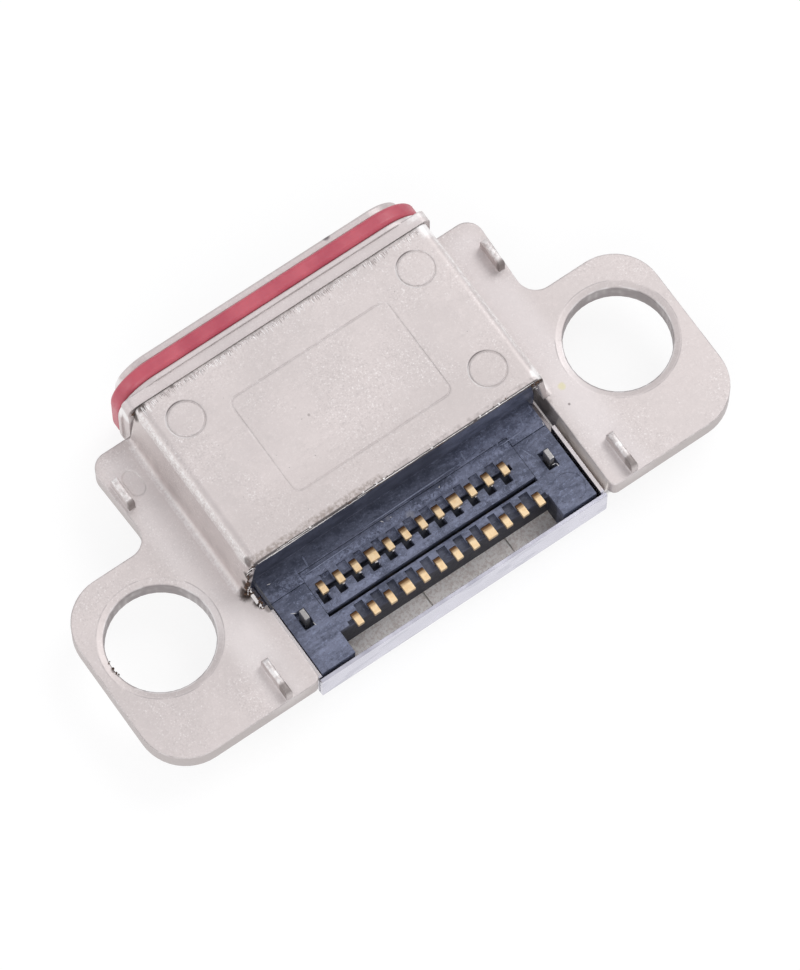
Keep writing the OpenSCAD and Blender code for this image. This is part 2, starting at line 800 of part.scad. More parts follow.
// Front carrier: tiles between the tails, a trough behind the tiles and a notch behind each tail
module front_contact_carrier() {
    row_end = contact_x(contact_count) + pitch * 0.38;
    color(LCP) difference() {
        block([-field_w / 2, field_front, block_bottom], [field_w / 2, field_rear, block_top]);
        tiles(tail_stagger, tile_front, trough_front + join);
        block(
            [tail_stagger - row_end, trough_front, pocket_floor],
            [tail_stagger + row_end, trough_rear, clear]);
        for (i = [1:contact_count]) translate([contact_x(i) + tail_stagger + notch_shift, 0, 0]) block(
            [-notch_w / 2, trough_rear - join, pocket_floor],
            [notch_w / 2, trough_rear + notch_len, clear]);
        contact_slots();
    }
}

// Rear carrier: two end blocks, and a bar between them that holds the rear row of tails
module rear_contact_carrier() {
    end_x = field_w / 2 + mould_gap;
    row_end = contact_x(contact_count) + pitch / 2;
    color(LCP) difference() {
        cover_box(seam_y, block_rear, block_w / 2, block_bottom, block_top, cover_bend);
        block([-end_x, seam_y - clear, floor_bottom], [end_x, bar_front, clear]);
        block([-end_x, bar_rear, floor_bottom], [end_x, block_rear + clear, clear]);
        tiles(-tail_stagger, comb_front, bar_rear + join);
        block(
            [-tail_stagger - row_end, comb_rear, tile_floor],
            [-tail_stagger + row_end, bar_rear + join, clear]);
        both_sides() translate([peg_x, peg_y, 0]) block(
            [-peg_hole_w / 2, -peg_hole_len / 2, leg_z + mid_plate_t],
            [peg_hole_w / 2, peg_hole_len / 2, clear]);
        translate([EJECTOR[0], EJECTOR[1], block_top - mark_depth]) cylinder(r = 0.42, h = clear);
        contact_slots();
        mid_plate_shape(mould_gap);
    }
}

// Rear cover

// The cover's box shape: straight up behind, bent in along the floor's three edges
module cover_box(front, rear, half_w, bottom, top, r) {
    intersection() {
        across(0, 2 * half_w) polygon(rounded(corners([front, bottom], [rear, top]), [0, r, 0, 0]));
        along(front, rear) polygon(rounded(corners([-half_w, bottom], [half_w, top]), [r, r, 0, 0]));
    }
}

module rear_cover() {
    front = shell_rear + steel_gap;
    slit_front = bar_rear - 0.4;
    inner_half = cover_half_w - cover_t;
    color(BRIGHT) difference() {
        translate([-cover_shift, 0, 0]) difference() {
            cover_box(front, cover_rear, cover_half_w, floor_bottom, -cover_drop, cover_r);
            cover_box(front - clear, wall_front, inner_half, floor_top, clear, cover_bend);
            both_sides() {
                block([0, front - clear, leg_z], [cover_half_w + clear, side_wall_front, clear]);
                block(
                    [inner_half - join, wall_front - slit_w, floor_bottom + cover_r],
                    [cover_half_w + clear, wall_front, clear]);
            }
        }
        for (x = SLITS) block(
            [x - slit_w / 2, slit_front, floor_bottom - clear],
            [x + slit_w / 2, wall_front - cover_r, floor_top + join]);
    }
}

bracket();
mouth_shell();
seal_ring();
tongue_housing();
front_contact_carrier();
rear_contact_carrier();
mid_plate();
ground_plate_upper();
ground_plate_lower();
rear_cover();
for (i = [1:contact_count]) {
    color(GOLD) contact_a(i);
    color(GOLD) contact_b(i);
}
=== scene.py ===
"""Looks of the reversible plug socket: camera, light, materials and fine surface detail."""
import math
import random

import bmesh
import bpy
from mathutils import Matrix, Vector, noise


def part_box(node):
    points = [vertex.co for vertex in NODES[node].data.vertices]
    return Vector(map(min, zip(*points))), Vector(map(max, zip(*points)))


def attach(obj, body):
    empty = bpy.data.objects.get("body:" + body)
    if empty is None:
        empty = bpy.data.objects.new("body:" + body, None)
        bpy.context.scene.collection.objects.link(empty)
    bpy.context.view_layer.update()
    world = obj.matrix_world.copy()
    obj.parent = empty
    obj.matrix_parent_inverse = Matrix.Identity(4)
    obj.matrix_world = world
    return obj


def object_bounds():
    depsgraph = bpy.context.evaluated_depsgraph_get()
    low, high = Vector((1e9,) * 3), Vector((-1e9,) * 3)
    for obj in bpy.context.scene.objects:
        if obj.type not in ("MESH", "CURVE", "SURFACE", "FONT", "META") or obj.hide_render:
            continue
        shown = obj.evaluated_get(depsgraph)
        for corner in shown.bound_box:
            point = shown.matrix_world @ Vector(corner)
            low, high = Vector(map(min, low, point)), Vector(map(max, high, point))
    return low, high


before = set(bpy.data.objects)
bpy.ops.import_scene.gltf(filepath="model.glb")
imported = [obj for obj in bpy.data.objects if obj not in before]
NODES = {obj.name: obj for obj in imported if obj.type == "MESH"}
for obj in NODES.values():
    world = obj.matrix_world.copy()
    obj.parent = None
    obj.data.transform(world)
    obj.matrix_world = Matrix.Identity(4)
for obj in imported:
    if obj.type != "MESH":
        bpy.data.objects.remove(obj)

MM = 0.001
cad_low, cad_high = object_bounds()

# Camera: the photograph's viewing angle, and where the part's origin falls in its 800 x 970 frame
AZIMUTH = math.radians(145.132)
ELEVATION = math.radians(69.613)
DISTANCE = 160 * MM
IMAGE_SIZE = (800, 970)
FOCAL_PIXELS = 6425
ORIGIN_PIXEL = (391.2, 487.0)

# Faces and edges of the part, in millimetres
HOOD_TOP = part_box("bracket")[1].z / MM
HOOD_FRONT = -4.79
HOOD_REAR = 0.26
EAR_TOP = 0.0
LIP_FRONT = cad_low.y / MM
LEDGE_TOP = -0.20
BLOCK_TOP = -0.25

# Screw holes, and weld rings on the bracket, as places in X and Y
HOLES = ((6.95, 0.0), (-6.95, 0.0))
HOLE_RADIUS = 1.4
WELDS = ((3.5, -3.85), (-3.46, -3.89), (-3.39, -0.67))
WELD_RADIUS = 0.5

# Raised tabs as (distance from the middle line, place along Y, length)
TABS = ((5.62, -3.60, 0.84), (5.22, 2.35, 1.12))

# Contacts: their number in a row, their spacing, how far the rows step aside, and where tails begin
CONTACTS = 12
PITCH = 0.5
TAIL_STEP = 0.125
TAIL_FRONTS = (0.93, 2.09)

# Ground and light: half the ground's width, its glow, and the area under the mouldings, where it
# doesn't glow
GROUND_HALF = 0.5
GROUND_GLOW = 1.04
DARK_GROUND = ((-4.95, -0.8, -9), (4.3, 2.72, 9))
SKY_COLOR = (0.97, 0.97, 1.0, 1)
SKY_STRENGTH = 0.68

# Lamps that look at the origin, as (name, place, diameter, power), in metres and watts
LAMPS = (
    ("key", (-0.16, -0.03, 0.22), 0.16, 0.23),
    ("fill", (0.14, 0.16, 0.18), 0.22, 0.20),
    ("end", (0.20, -0.10, 0.09), 0.05, 0.05),
)

# Sockets of Blender's mix node that carry colours
MIX_A, MIX_B, MIX_RESULT = 6, 7, 2


def link_object(name, data):
    item = bpy.data.objects.new(name, data)
    bpy.context.scene.collection.objects.link(item)
    return item


def make_camera():
    back = Vector((
        math.sin(AZIMUTH) * math.cos(ELEVATION),
        -math.cos(AZIMUTH) * math.cos(ELEVATION),
        math.sin(ELEVATION),
    ))
    long_side = max(IMAGE_SIZE)
    data = bpy.data.cameras.new("camera")
    data.sensor_width = 36
    data.lens = FOCAL_PIXELS / long_side * data.sensor_width
    data.shift_x = (IMAGE_SIZE[0] / 2 - ORIGIN_PIXEL[0]) / long_side
    data.shift_y = (ORIGIN_PIXEL[1] - IMAGE_SIZE[1] / 2) / long_side
    data.clip_start = DISTANCE * 0.05
    data.clip_end = DISTANCE * 50
    camera = link_object("camera", data)
    camera.location = back * DISTANCE
    camera.rotation_mode = "QUATERNION"
    camera.rotation_quaternion = (-back).to_track_quat("-Z", "Y")
    bpy.context.scene.camera = camera


class Shade:
    """One node material, with short calls for the nodes that it is made of."""

    def __init__(self, name):
        self.material = bpy.data.materials.new(name)
        self.material.use_nodes = True
        self.tree = self.material.node_tree
        self.shader = self.tree.nodes["Principled BSDF"]
        self.place = self.add("ShaderNodeTexCoord").outputs["Object"]

    def add(self, kind, **settings):
        item = self.tree.nodes.new(kind)
        for key, value in settings.items():
            setattr(item, key, value)
        return item

    def feed(self, socket, value):
        """Links a socket to a node's output, or gives it a constant."""
        if isinstance(value, bpy.types.NodeSocket):
            self.tree.links.new(value, socket)
        else:
            socket.default_value = value

    def set(self, **values):
        """Gives values to the shader's sockets, named in lower case with underscores."""
        for key, value in values.items():
            name = key.replace("_", " ").title().replace("Ior", "IOR")
            self.feed(self.shader.inputs[name], value)

    def stretched(self, factors):
        """The object's own coordinates, times a factor along each axis."""
        item = self.add("ShaderNodeMapping")
        self.feed(item.inputs["Vector"], self.place)
        item.inputs["Scale"].default_value = factors
        return item.outputs["Vector"]

    def noise(self, size_mm, detail=3.0, roughness=0.55, offset=0.0, stretch=(1, 1, 1), distortion=0.0):
        """Noise whose patches are about size_mm across, from 0 to 1."""
        item = self.add("ShaderNodeTexNoise", noise_dimensions="4D")
        self.feed(item.inputs["Vector"], self.stretched(stretch))
        item.inputs["W"].default_value = offset
        item.inputs["Scale"].default_value = 1 / (size_mm * MM)
        item.inputs["Detail"].default_value = detail
        item.inputs["Roughness"].default_value = roughness
        item.inputs["Distortion"].default_value = distortion
        return item.outputs["Fac"]

    def range(self, value, low, high, to_low=0.0, to_high=1.0):
        """Smooth step from to_low, where the value is low, to to_high, where it is high."""
        item = self.add("ShaderNodeMapRange", interpolation_type="SMOOTHSTEP")
        self.feed(item.inputs["Value"], value)
        limits = {"From Min": low, "From Max": high, "To Min": to_low, "To Max": to_high}
        for name, number in limits.items():
            item.inputs[name].default_value = number
        return item.outputs["Result"]

    def math(self, operation, a, b=0.0):
        item = self.add("ShaderNodeMath", operation=operation)
        self.feed(item.inputs[0], a)
        self.feed(item.inputs[1], b)
        return item.outputs[0]

    def times(self, first, *others):
        """Product of two or more values."""
        for other in others:
            first = self.math("MULTIPLY", first, other)
        return first

    def vector(self, operation, a, b):
        """Vector maths. A distance or a dot product comes back as a number."""
        item = self.add("ShaderNodeVectorMath", operation=operation)
        self.feed(item.inputs[0], a)
        self.feed(item.inputs[1], b)
        return item.outputs["Value" if operation in ("DISTANCE", "DOT_PRODUCT") else "Vector"]

    def mix(self, factor, a, b):
        """Blend of two colours: a where the factor is 0, b where it is 1."""
        item = self.add("ShaderNodeMix", data_type="RGBA")
        self.feed(item.inputs["Factor"], factor)
        for socket, value in ((item.inputs[MIX_A], a), (item.inputs[MIX_B], b)):
            linked = isinstance(value, bpy.types.NodeSocket)
            self.feed(socket, value if linked else (*value, 1.0))
        return item.outputs[MIX_RESULT]

    def near(self, point_mm, radius_mm, ragged=0.5):
        """1 close to a point and 0 away from it, with a ragged border."""
        distance = self.vector("DISTANCE", self.place, [c * MM for c in point_mm])
        wobble = self.times(self.noise(0.12, 4.0, 0.65, offset=point_mm[0]), ragged * 2)
        reach = self.times(distance, self.math("ADD", wobble, 1 - ragged))
        return self.range(reach, radius_mm * MM, radius_mm * MM * 0.45)

    def box_mask(self, low_mm, high_mm, soft_mm=0.05):
        """1 inside a box and 0 outside."""
        item = self.add("ShaderNodeSeparateXYZ")
        self.feed(item.inputs[0], self.place)
        sides = []
        for value, low, high in zip(item.outputs, low_mm, high_mm):
            sides.append(self.range(value, (low - soft_mm) * MM, (low + soft_mm) * MM))
            sides.append(self.range(value, (high + soft_mm) * MM, (high - soft_mm) * MM))
        return self.times(*sides)

    def from_axis(self, centre_mm):
        """Level distance from an upright axis, in metres."""
        return self.vector("DISTANCE", self.stretched((1, 1, 0)), [c * MM for c in (*centre_mm, 0)])

    def tube_mask(self, centre_mm, radius_mm, soft_mm=0.03):
        """1 within a distance of an upright axis, and 0 away from it."""
        outside, inside = (radius_mm + soft_mm) * MM, (radius_mm - soft_mm) * MM
        return self.range(self.from_axis(centre_mm), outside, inside)

    def ring_mask(self, centre_mm, radius_mm, width_mm):
        """1 on a level ring round an upright axis."""
        off = self.math("ABSOLUTE", self.math("SUBTRACT", self.from_axis(centre_mm), radius_mm * MM))
        return self.range(off, width_mm * MM, width_mm * MM * 0.4)

    def rim_mask(self, centre_mm, radius_mm, width_mm):
        """1 on broken stretches of a level ring."""
        broken = self.range(self.noise(0.9, 3.0, 0.6, offset=centre_mm[0]), 0.42, 0.58)
        return self.times(self.ring_mask(centre_mm, radius_mm, width_mm), broken)

    def arc_mask(self, centre_mm, radius_mm, width_mm, toward):
        """1 on the part of a level ring that lies toward a direction."""
        away = self.vector("SUBTRACT", self.stretched((1, 1, 0)), [c * MM for c in (*centre_mm, 0)])
        along = self.vector("DOT_PRODUCT", away, (*toward, 0))
        facing = self.range(along, 0.3 * radius_mm * MM, 0.8 * radius_mm * MM)
        return self.times(self.ring_mask(centre_mm, radius_mm, width_mm), facing)

    def rounded_edges(self, radius_mm, samples=6):
        """Normals as if the edges were rounded, and a mask of these edges."""
        item = self.add("ShaderNodeBevel", samples=samples)
        item.inputs["Radius"].default_value = radius_mm * MM
        flat = self.add("ShaderNodeNewGeometry").outputs["Normal"]
        alike = self.vector("DOT_PRODUCT", item.outputs["Normal"], flat)
        return item.outputs["Normal"], self.range(alike, 0.995, 0.85)

    def upright(self):
        """1 on upright faces and 0 on level ones."""
        item = self.add("ShaderNodeSeparateXYZ")
        self.feed(item.inputs[0], self.add("ShaderNodeNewGeometry").outputs["Normal"])
        return self.range(self.math("ABSOLUTE", item.outputs[2]), 0.6, 0.2)

    def bump(self, height, depth_mm, normal=None, strength=1.0):
        item = self.add("ShaderNodeBump")
        item.inputs["Strength"].default_value = strength
        item.inputs["Distance"].default_value = depth_mm * MM
        self.feed(item.inputs["Height"], height)
        if normal is not None:
            self.feed(item.inputs["Normal"], normal)
        return item.outputs["Normal"]

    def finish(self, color, roughness, normal):
        self.feed(self.shader.inputs["Base Color"], color)
        self.feed(self.shader.inputs["Roughness"], roughness)
        self.feed(self.shader.inputs["Normal"], normal)
        return self.material


def scaled(color, factor):
    return [min(1, c * factor) for c in color]


# Colours of marks on steel: white for painted highlights, and soot for burns
HIGHLIGHT_WHITE = (0.96, 0.94, 0.93)
SOOT = (0.05, 0.032, 0.025)

# The ears' and flanges' sheared edges, and the bracket's sandiest area, each as a box and its softness
SHEARED = ((-99, -4.75, -99), (99, 99, EAR_TOP - 0.04), 0.03)
SANDY_FRONT = ((-4.3, -5.0, 1.6), (4.4, -3.9, 1.8), 0.5)


def sandy_area(s, sandy, sandy_box, offset):
    """How sandy the plating is, from place to place."""
    area = s.range(s.noise(1.5, 4.0, 0.65, offset + 2), 0.42, 0.60, 0.15, 0.62)
    if sandy_box:
        area = s.math("MAXIMUM", area, s.box_mask(*sandy_box))
    return s.times(area, sandy)


def edge_wear_and_light(s, tone, color, edges, offset):
    """Edges painted bright, partly as rubbed metal and partly as painted highlight, with darker
    stretches of painted shade between them, and duller sheared faces.
    """
    # Painted highlight along the edges, partly standing for wear
    worn = s.times(edges, s.range(s.noise(0.12, 3.0, 0.7, offset + 13), 0.38, 0.68, 0.1, 0.75))
    tone = s.mix(worn, tone, (0.94, 0.92, 0.91))
    # Painted shade: darker stretches along the edges
    dim = s.times(edges, s.range(s.noise(0.9, 3.0, 0.65, offset + 17), 0.44, 0.60, 0.0, 0.75))
    tone = s.mix(dim, tone, scaled(color, 0.55))
    cut = s.times(s.upright(), s.box_mask(*SHEARED), 0.55)
    return s.mix(cut, tone, scaled(color, 0.62))


def steel(name, color, metallic=0.6, rough=0.5, edge_mm=0.06, sandy=1.0, sandy_box=None, marks=(),
          offset=0.0):
    """Dull nickel-plated sheet: smooth and sandy areas, grains with painted sparkle, pits, edges with
    wear and painted highlights and shade, and marks given as functions of a Shade that return (mask,
    colour)."""
    s = Shade(name)
    cloud = s.noise(2.2, 3.0, 0.6, offset)
    grain = s.noise(0.042, 2.0, 0.6, offset + 3)
    lump = s.noise(0.13, 3.0, 0.6, offset + 7)
    brushed = s.noise(0.2, 4.0, 0.7, offset + 5, stretch=(0.6, 1.4, 1))
    area = sandy_area(s, sandy, sandy_box, offset)
    tone = s.mix(s.range(cloud, 0.35, 0.68), scaled(color, 0.94), scaled(color, 1.05))
    tone = s.mix(s.range(lump, 0.5, 0.75, 0, 0.35), tone, scaled(color, 1.18))
    tone = s.mix(s.range(brushed, 0.5, 0.3, 0, 0.30), tone, scaled(color, 0.84))
    tone = s.mix(s.times(s.range(grain, 0.47, 0.33, 0, 0.75), area), tone, scaled(color, 0.72))
    # Painted sparkle: pale grains stand for glints on the sandy plating
    tone = s.mix(s.times(s.range(grain, 0.56, 0.70), area), tone, (0.93, 0.90, 0.89))
    pits = s.range(s.noise(0.08, 1.0, 0.4, offset + 9), 0.76, 0.82, 0, 0.6)
    tone = s.mix(pits, tone, scaled(color, 0.4))
    normal, edges = s.rounded_edges(edge_mm)
    tone = edge_wear_and_light(s, tone, color, edges, offset)
    for mark in marks:
        mask, mark_color = mark(s)
        tone = s.mix(mask, tone, mark_color)
    roughness = s.range(cloud, 0.3, 0.7, rough - 0.05, rough + 0.08)
    height = s.math("ADD", grain, s.times(lump, 2.0))
    s.set(metallic=metallic)
    return s.finish(tone, roughness, s.bump(height, 0.0012, normal, 0.8))


# The rear cover's floor, and the inner faces of its two ends, as (low corner, high corner)
COVER_FLOOR = ((-4.2, 0.2, -1.6), (4.2, 3.04, -1.38))
COVER_ENDS = (
    ((4.15, 0.0, -1.3), (4.7, 2.98, 0.3)),
    ((-4.7, 0.0, -1.3), (-4.15, 2.98, 0.3)),
)


def bright_cover():
    """Mirror-like plating, with the lilac of what it reflects and darker wavy reflections painted into
    its colour, a painted highlight along its pale top edge, and a dull floor.
    """
    s = Shade("bright plating")
    cloud = s.noise(0.9, 3.0, 0.6)
    # Painted reflections: the lilac tone, and darker wavy streaks in it
    wave = s.noise(0.5, 2.0, 0.5, 6, stretch=(0.5, 1, 1.5))
    tone = s.mix(s.range(cloud, 0.3, 0.7), (0.60, 0.59, 0.67), (0.70, 0.69, 0.77))
    tone = s.mix(s.range(wave, 0.55, 0.62, 0, 0.35), tone, (0.42, 0.42, 0.50))
    normal, edges = s.rounded_edges(0.02, 4)
    # Painted highlight along the edges, mostly the top edge
    tone = s.mix(s.times(edges, 0.5), tone, (0.86, 0.82, 0.82))
    floor = s.box_mask(*COVER_FLOOR)
    grain = s.noise(0.07, 3.0, 0.65, 4)
    smear = s.noise(0.5, 4.0, 0.6, 8, distortion=0.6)
    stamped = s.mix(s.range(grain, 0.36, 0.60), (0.78, 0.71, 0.67), (1.0, 0.97, 0.94))
    stamped = s.mix(s.range(smear, 0.54, 0.70, 0, 0.35), stamped, (0.55, 0.49, 0.46))
    tone = s.mix(floor, tone, stamped)
    for low, high in COVER_ENDS:
        tone = s.mix(s.times(s.box_mask(low, high), 0.8), tone, (0.78, 0.72, 0.70))
    roughness = s.math("ADD", s.times(floor, 0.3), s.range(cloud, 0.3, 0.7, 0.2, 0.3))
    s.set(metallic=s.range(floor, 0, 1, 0.9, 0.0))
    return s.finish(tone, roughness, s.bump(grain, 0.001, normal, 0.5))


def silicone():
    """Red silicone, smooth and slightly translucent."""
    s = Shade("red silicone")
    cloud = s.noise(0.7, 3.0, 0.5)
    fine = s.noise(0.06, 3.0, 0.6, 2)
    tone = s.mix(s.range(cloud, 0.3, 0.7), (0.44, 0.062, 0.098), (0.53, 0.10, 0.135))
    s.set(specular_ior_level=0.55, subsurface_weight=0.15, subsurface_scale=0.3 * MM)
    s.set(subsurface_radius=(1.0, 0.4, 0.35))
    return s.finish(tone, s.range(fine, 0.3, 0.7, 0.34, 0.46), s.bump(fine, 0.001))


# Shaded areas of the plastic as (low corner, high corner, softness, strength)
SHADED = (
    ((-1.6, -0.3, -0.3), (4.4, 0.62, 1.6), 0.30, 0.55),
    ((-4.4, -0.3, -0.3), (4.4, 0.16, 1.6), 0.14, 0.35),
    ((-3.4, 0.8, -1.6), (3.4, 2.7, -0.46), 0.06, 0.85),
    ((-3.2, 1.84, -1.6), (3.2, 2.7, -0.31), 0.04, 0.55),
)

# Rubbed areas of the plastic, given in the same way
RUBBED = (
    ((-3.2, 0.60, -0.3), (3.3, 0.78, -0.15), 0.04, 0.75),
    ((-4.2, 0.40, -0.3), (-3.2, 0.75, -0.15), 0.08, 0.4),
    ((2.9, 0.40, -0.3), (4.2, 0.75, -0.15), 0.08, 0.5),
    ((-3.0, 1.55, -0.3), (3.0, 1.70, -0.2), 0.04, 0.5),
)

# Grey smudges on the plastic as (place, radius, strength)
SMUDGES = (((-0.02, 0.80, -0.2), 0.16, 0.5), ((0.5, 0.56, -0.2), 0.10, 0.35))


def plastic_shade_and_wear(s, tone):
    """Painted shade, and rubbed and smudged places of the plastic."""
    # Painted shade near the hood and deep in the pockets round the tails
    for low, high, soft, strength in SHADED:
        tone = s.mix(s.times(s.box_mask(low, high, soft), strength), tone, (0.026, 0.029, 0.044))
    blotch = s.noise(0.11, 5.0, 0.75, 33, distortion=0.7)
    for low, high, soft, strength in RUBBED:
        worn = s.times(s.box_mask(low, high, soft), s.range(blotch, 0.44, 0.62, 0.0, strength))
        tone = s.mix(worn, tone, (0.28, 0.31, 0.44))
    for place, radius, strength in SMUDGES:
        tone = s.mix(s.times(s.near(place, radius, 0.3), strength), tone, (0.30, 0.30, 0.34))
    return tone


def moulded_plastic():
    """Dark blue-grey glass-filled plastic with flow marks, pale rubs and tiny pits."""
    s = Shade("dark blue plastic")
    flow = s.noise(0.45, 5.0, 0.62, 1, stretch=(0.5, 1.2, 1), distortion=0.8)
    fibre = s.noise(0.07, 4.0, 0.7, 5, stretch=(0.7, 1.2, 1))
    cross = s.noise(0.06, 3.0, 0.7, 15, stretch=(1.3, 0.6, 1))
    tone = s.mix(s.range(flow, 0.36, 0.64), (0.062, 0.072, 0.115), (0.165, 0.182, 0.262))
    tone = s.mix(s.range(fibre, 0.52, 0.68, 0, 0.8), tone, (0.24, 0.27, 0.39))
    tone = s.mix(s.range(cross, 0.56, 0.70, 0, 0.7), tone, (0.22, 0.25, 0.36))
    tone = s.mix(s.range(fibre, 0.47, 0.33, 0, 0.7), tone, (0.040, 0.045, 0.072))
    rubs = s.noise(0.13, 5.0, 0.8, 8, stretch=(1.8, 0.45, 1), distortion=1.2)
    tone = s.mix(s.range(rubs, 0.62, 0.70, 0, 0.6), tone, (0.34, 0.37, 0.50))
    tone = plastic_shade_and_wear(s, tone)
    normal, edges = s.rounded_edges(0.02, 4)
    # Painted highlight along the rounded edges
    tone = s.mix(s.times(edges, s.range(flow, 0.3, 0.7, 0.05, 0.5)), tone, (0.30, 0.32, 0.42))
    height = s.math("ADD", s.times(flow, 1.6), s.math("ADD", fibre, cross))
    s.set(specular_ior_level=0.4)
    return s.finish(tone, s.range(fibre, 0.3, 0.75, 0.42, 0.6), s.bump(height, 0.004, normal, 0.9))


def gold():
    """Satin gold plating, with painted shade, darker and browner, where the strips turn down in front of
    their tails, and painted highlights on its edges.
    """
    s = Shade("gold plating")
    cloud = s.noise(0.1, 4.0, 0.65)
    tone = s.mix(s.range(cloud, 0.3, 0.7), (0.84, 0.59, 0.32), (0.92, 0.72, 0.46))
    spots = s.range(s.noise(0.03, 2.0, 0.6, 4), 0.55, 0.75, 0, 0.35)
    tone = s.mix(spots, tone, (0.62, 0.36, 0.16))
    for front in TAIL_FRONTS:
        # Painted shade where the strips turn down
        bend = s.box_mask((-3, front - 0.3, -1), (3, front + 0.14, 1), 0.09)
        tone = s.mix(bend, tone, (0.26, 0.12, 0.04))
    normal, edges = s.rounded_edges(0.015, 4)
    # Painted highlight along the edges
    tone = s.mix(s.times(edges, 0.3), tone, (0.98, 0.86, 0.66))
    s.set(metallic=0.5)
    return s.finish(tone, s.range(cloud, 0.3, 0.7, 0.34, 0.5), s.bump(cloud, 0.003, normal, 0.6))


def burr_steel(name, tone, rough):
    """Torn or melted bits of sheet, bright or dull by their tone; the bright ones also serve as painted
    glints.
    """
    s = Shade(name)
    grain = s.noise(0.03, 3.0, 0.65)
    color = s.mix(s.range(grain, 0.3, 0.7), scaled(tone, 0.8), tone)
    s.set(metallic=0.5)
    return s.finish(color, s.range(grain, 0.3, 0.7, rough, rough + 0.15), s.bump(grain, 0.004))


def burnt_scale():
    """Crust left by the welding: black to rust brown, rough, with a few shiny grains."""
    s = Shade("burnt scale")
    patches = s.noise(0.12, 4.0, 0.7)
    grain = s.noise(0.03, 3.0, 0.7, 3)
    tone = s.mix(s.range(patches, 0.38, 0.62), (0.022, 0.016, 0.015), (0.14, 0.075, 0.045))
    tone = s.mix(s.range(grain, 0.62, 0.74, 0, 0.8), tone, (0.42, 0.36, 0.33))
    s.set(metallic=0.2)
    return s.finish(tone, s.range(grain, 0.3, 0.7, 0.35, 0.7), s.bump(grain, 0.01))


def rubbed_and_lit_plastic():
    """Raised lines of the moulding, a little paler than the plastic round them, partly as rubbing and
    partly as a painted highlight on the ridges.
    """
    s = Shade("rubbed plastic")
    grain = s.noise(0.03, 3.0, 0.65)
    tone = s.mix(s.range(grain, 0.3, 0.7), (0.12, 0.135, 0.20), (0.24, 0.265, 0.37))
    return s.finish(tone, s.range(grain, 0.3, 0.7, 0.4, 0.6), s.bump(grain, 0.004))


def pale_fleck():
    """Splinters, and lumps that paint glints, nearly white."""
    s = Shade("pale fleck")
    grain = s.noise(0.02, 2.0, 0.6)
    tone = s.mix(s.range(grain, 0.35, 0.65), (0.45, 0.44, 0.46), (0.86, 0.85, 0.86))
    return s.finish(tone, s.range(grain, 0.3, 0.7, 0.3, 0.5), s.bump(grain, 0.004))


# Spots as (place, radius, strength), in millimetres. The burns lie at the hood's rear corners, at its
# front left corner and edge, at the left screw hole, on the right ear and on the hood's top
BURNS = (
    ((4.56, 0.28, 0.08), 0.26, 0.95),
    ((4.52, 0.24, 0.5), 0.22, 0.9),
    ((4.46, 0.24, 1.0), 0.20, 0.9),
    ((4.42, 0.62, -0.02), 0.20, 0.85),
    ((4.33, 0.90, -0.02), 0.12, 0.6),
    ((4.40, 0.10, 1.62), 0.20, 0.7),
    ((-4.30, 0.26, 1.45), 0.22, 0.9),
    ((-4.45, 0.30, -0.3), 0.40, 0.6),
    ((4.45, -4.80, 1.35), 0.26, 0.9),
    ((4.22, -4.74, 1.66), 0.16, 0.8),
    ((3.30, -4.76, 1.72), 0.07, 0.6),
    ((8.34, 0.03, 0.0), 0.12, 0.8),
    ((-4.92, 0.73, 0.0), 0.045, 0.6),
    ((0.95, -2.2, 1.72), 0.05, 0.35),
)
# Painted highlights on the hood's -X front and rear corners and on its +X side near the rear
PAINTED_HIGHLIGHTS = (
    ((-4.40, -4.7, 1.60), 0.42, 0.95),
    ((-4.42, 0.1, 1.66), 0.32, 0.95),
    ((4.50, -0.2, 1.45), 0.3, 0.3),
)
SHELL_GLINTS = (
    ((4.3, -5.85, 0.9), 0.4, 0.8),
    ((4.5, -5.1, 1.0), 0.4, 0.8),
    ((-4.3, -5.1, 1.3), 0.4, 0.9),
)
# A dark spot as painted shade in a nick of the lip
LIP_NICK_SHADE = ((-2.14, -5.95, 1.50), 0.15, 0.8)
YELLOW_SPOT = ((-5.05, 0.23, 0.0), 0.13, 0.5)

# Bands as (low corner, high corner, softness, strength, colour) and, for ragged ones, the size of
# the breaks. First painted shade on the hood's rear part and its front edge, then along its rear edge
# a darker line, brown dirt and a dark rear end face
HOOD_SHADE_AND_DIRT = (
    ((-4.2, -1.1, 1.6), (4.4, 0.3, 1.8), 0.5, 0.7, (0.52, 0.47, 0.455)),
    ((-4.1, -5.0, 1.6), (4.3, -4.72, 1.8), 0.05, 0.75, (0.33, 0.30, 0.29), 0.15),
    ((-4.25, 0.12, 1.5), (4.3, 0.3, 1.8), 0.03, 0.55, (0.34, 0.30, 0.29), 0.2),
    ((0.4, 0.06, 1.6), (4.3, 0.3, 1.8), 0.04, 0.7, (0.30, 0.25, 0.22), 0.1),
    ((-4.25, 0.235, 1.3), (4.3, 0.4, 1.8), 0.012, 0.9, (0.13, 0.115, 0.115)),
)

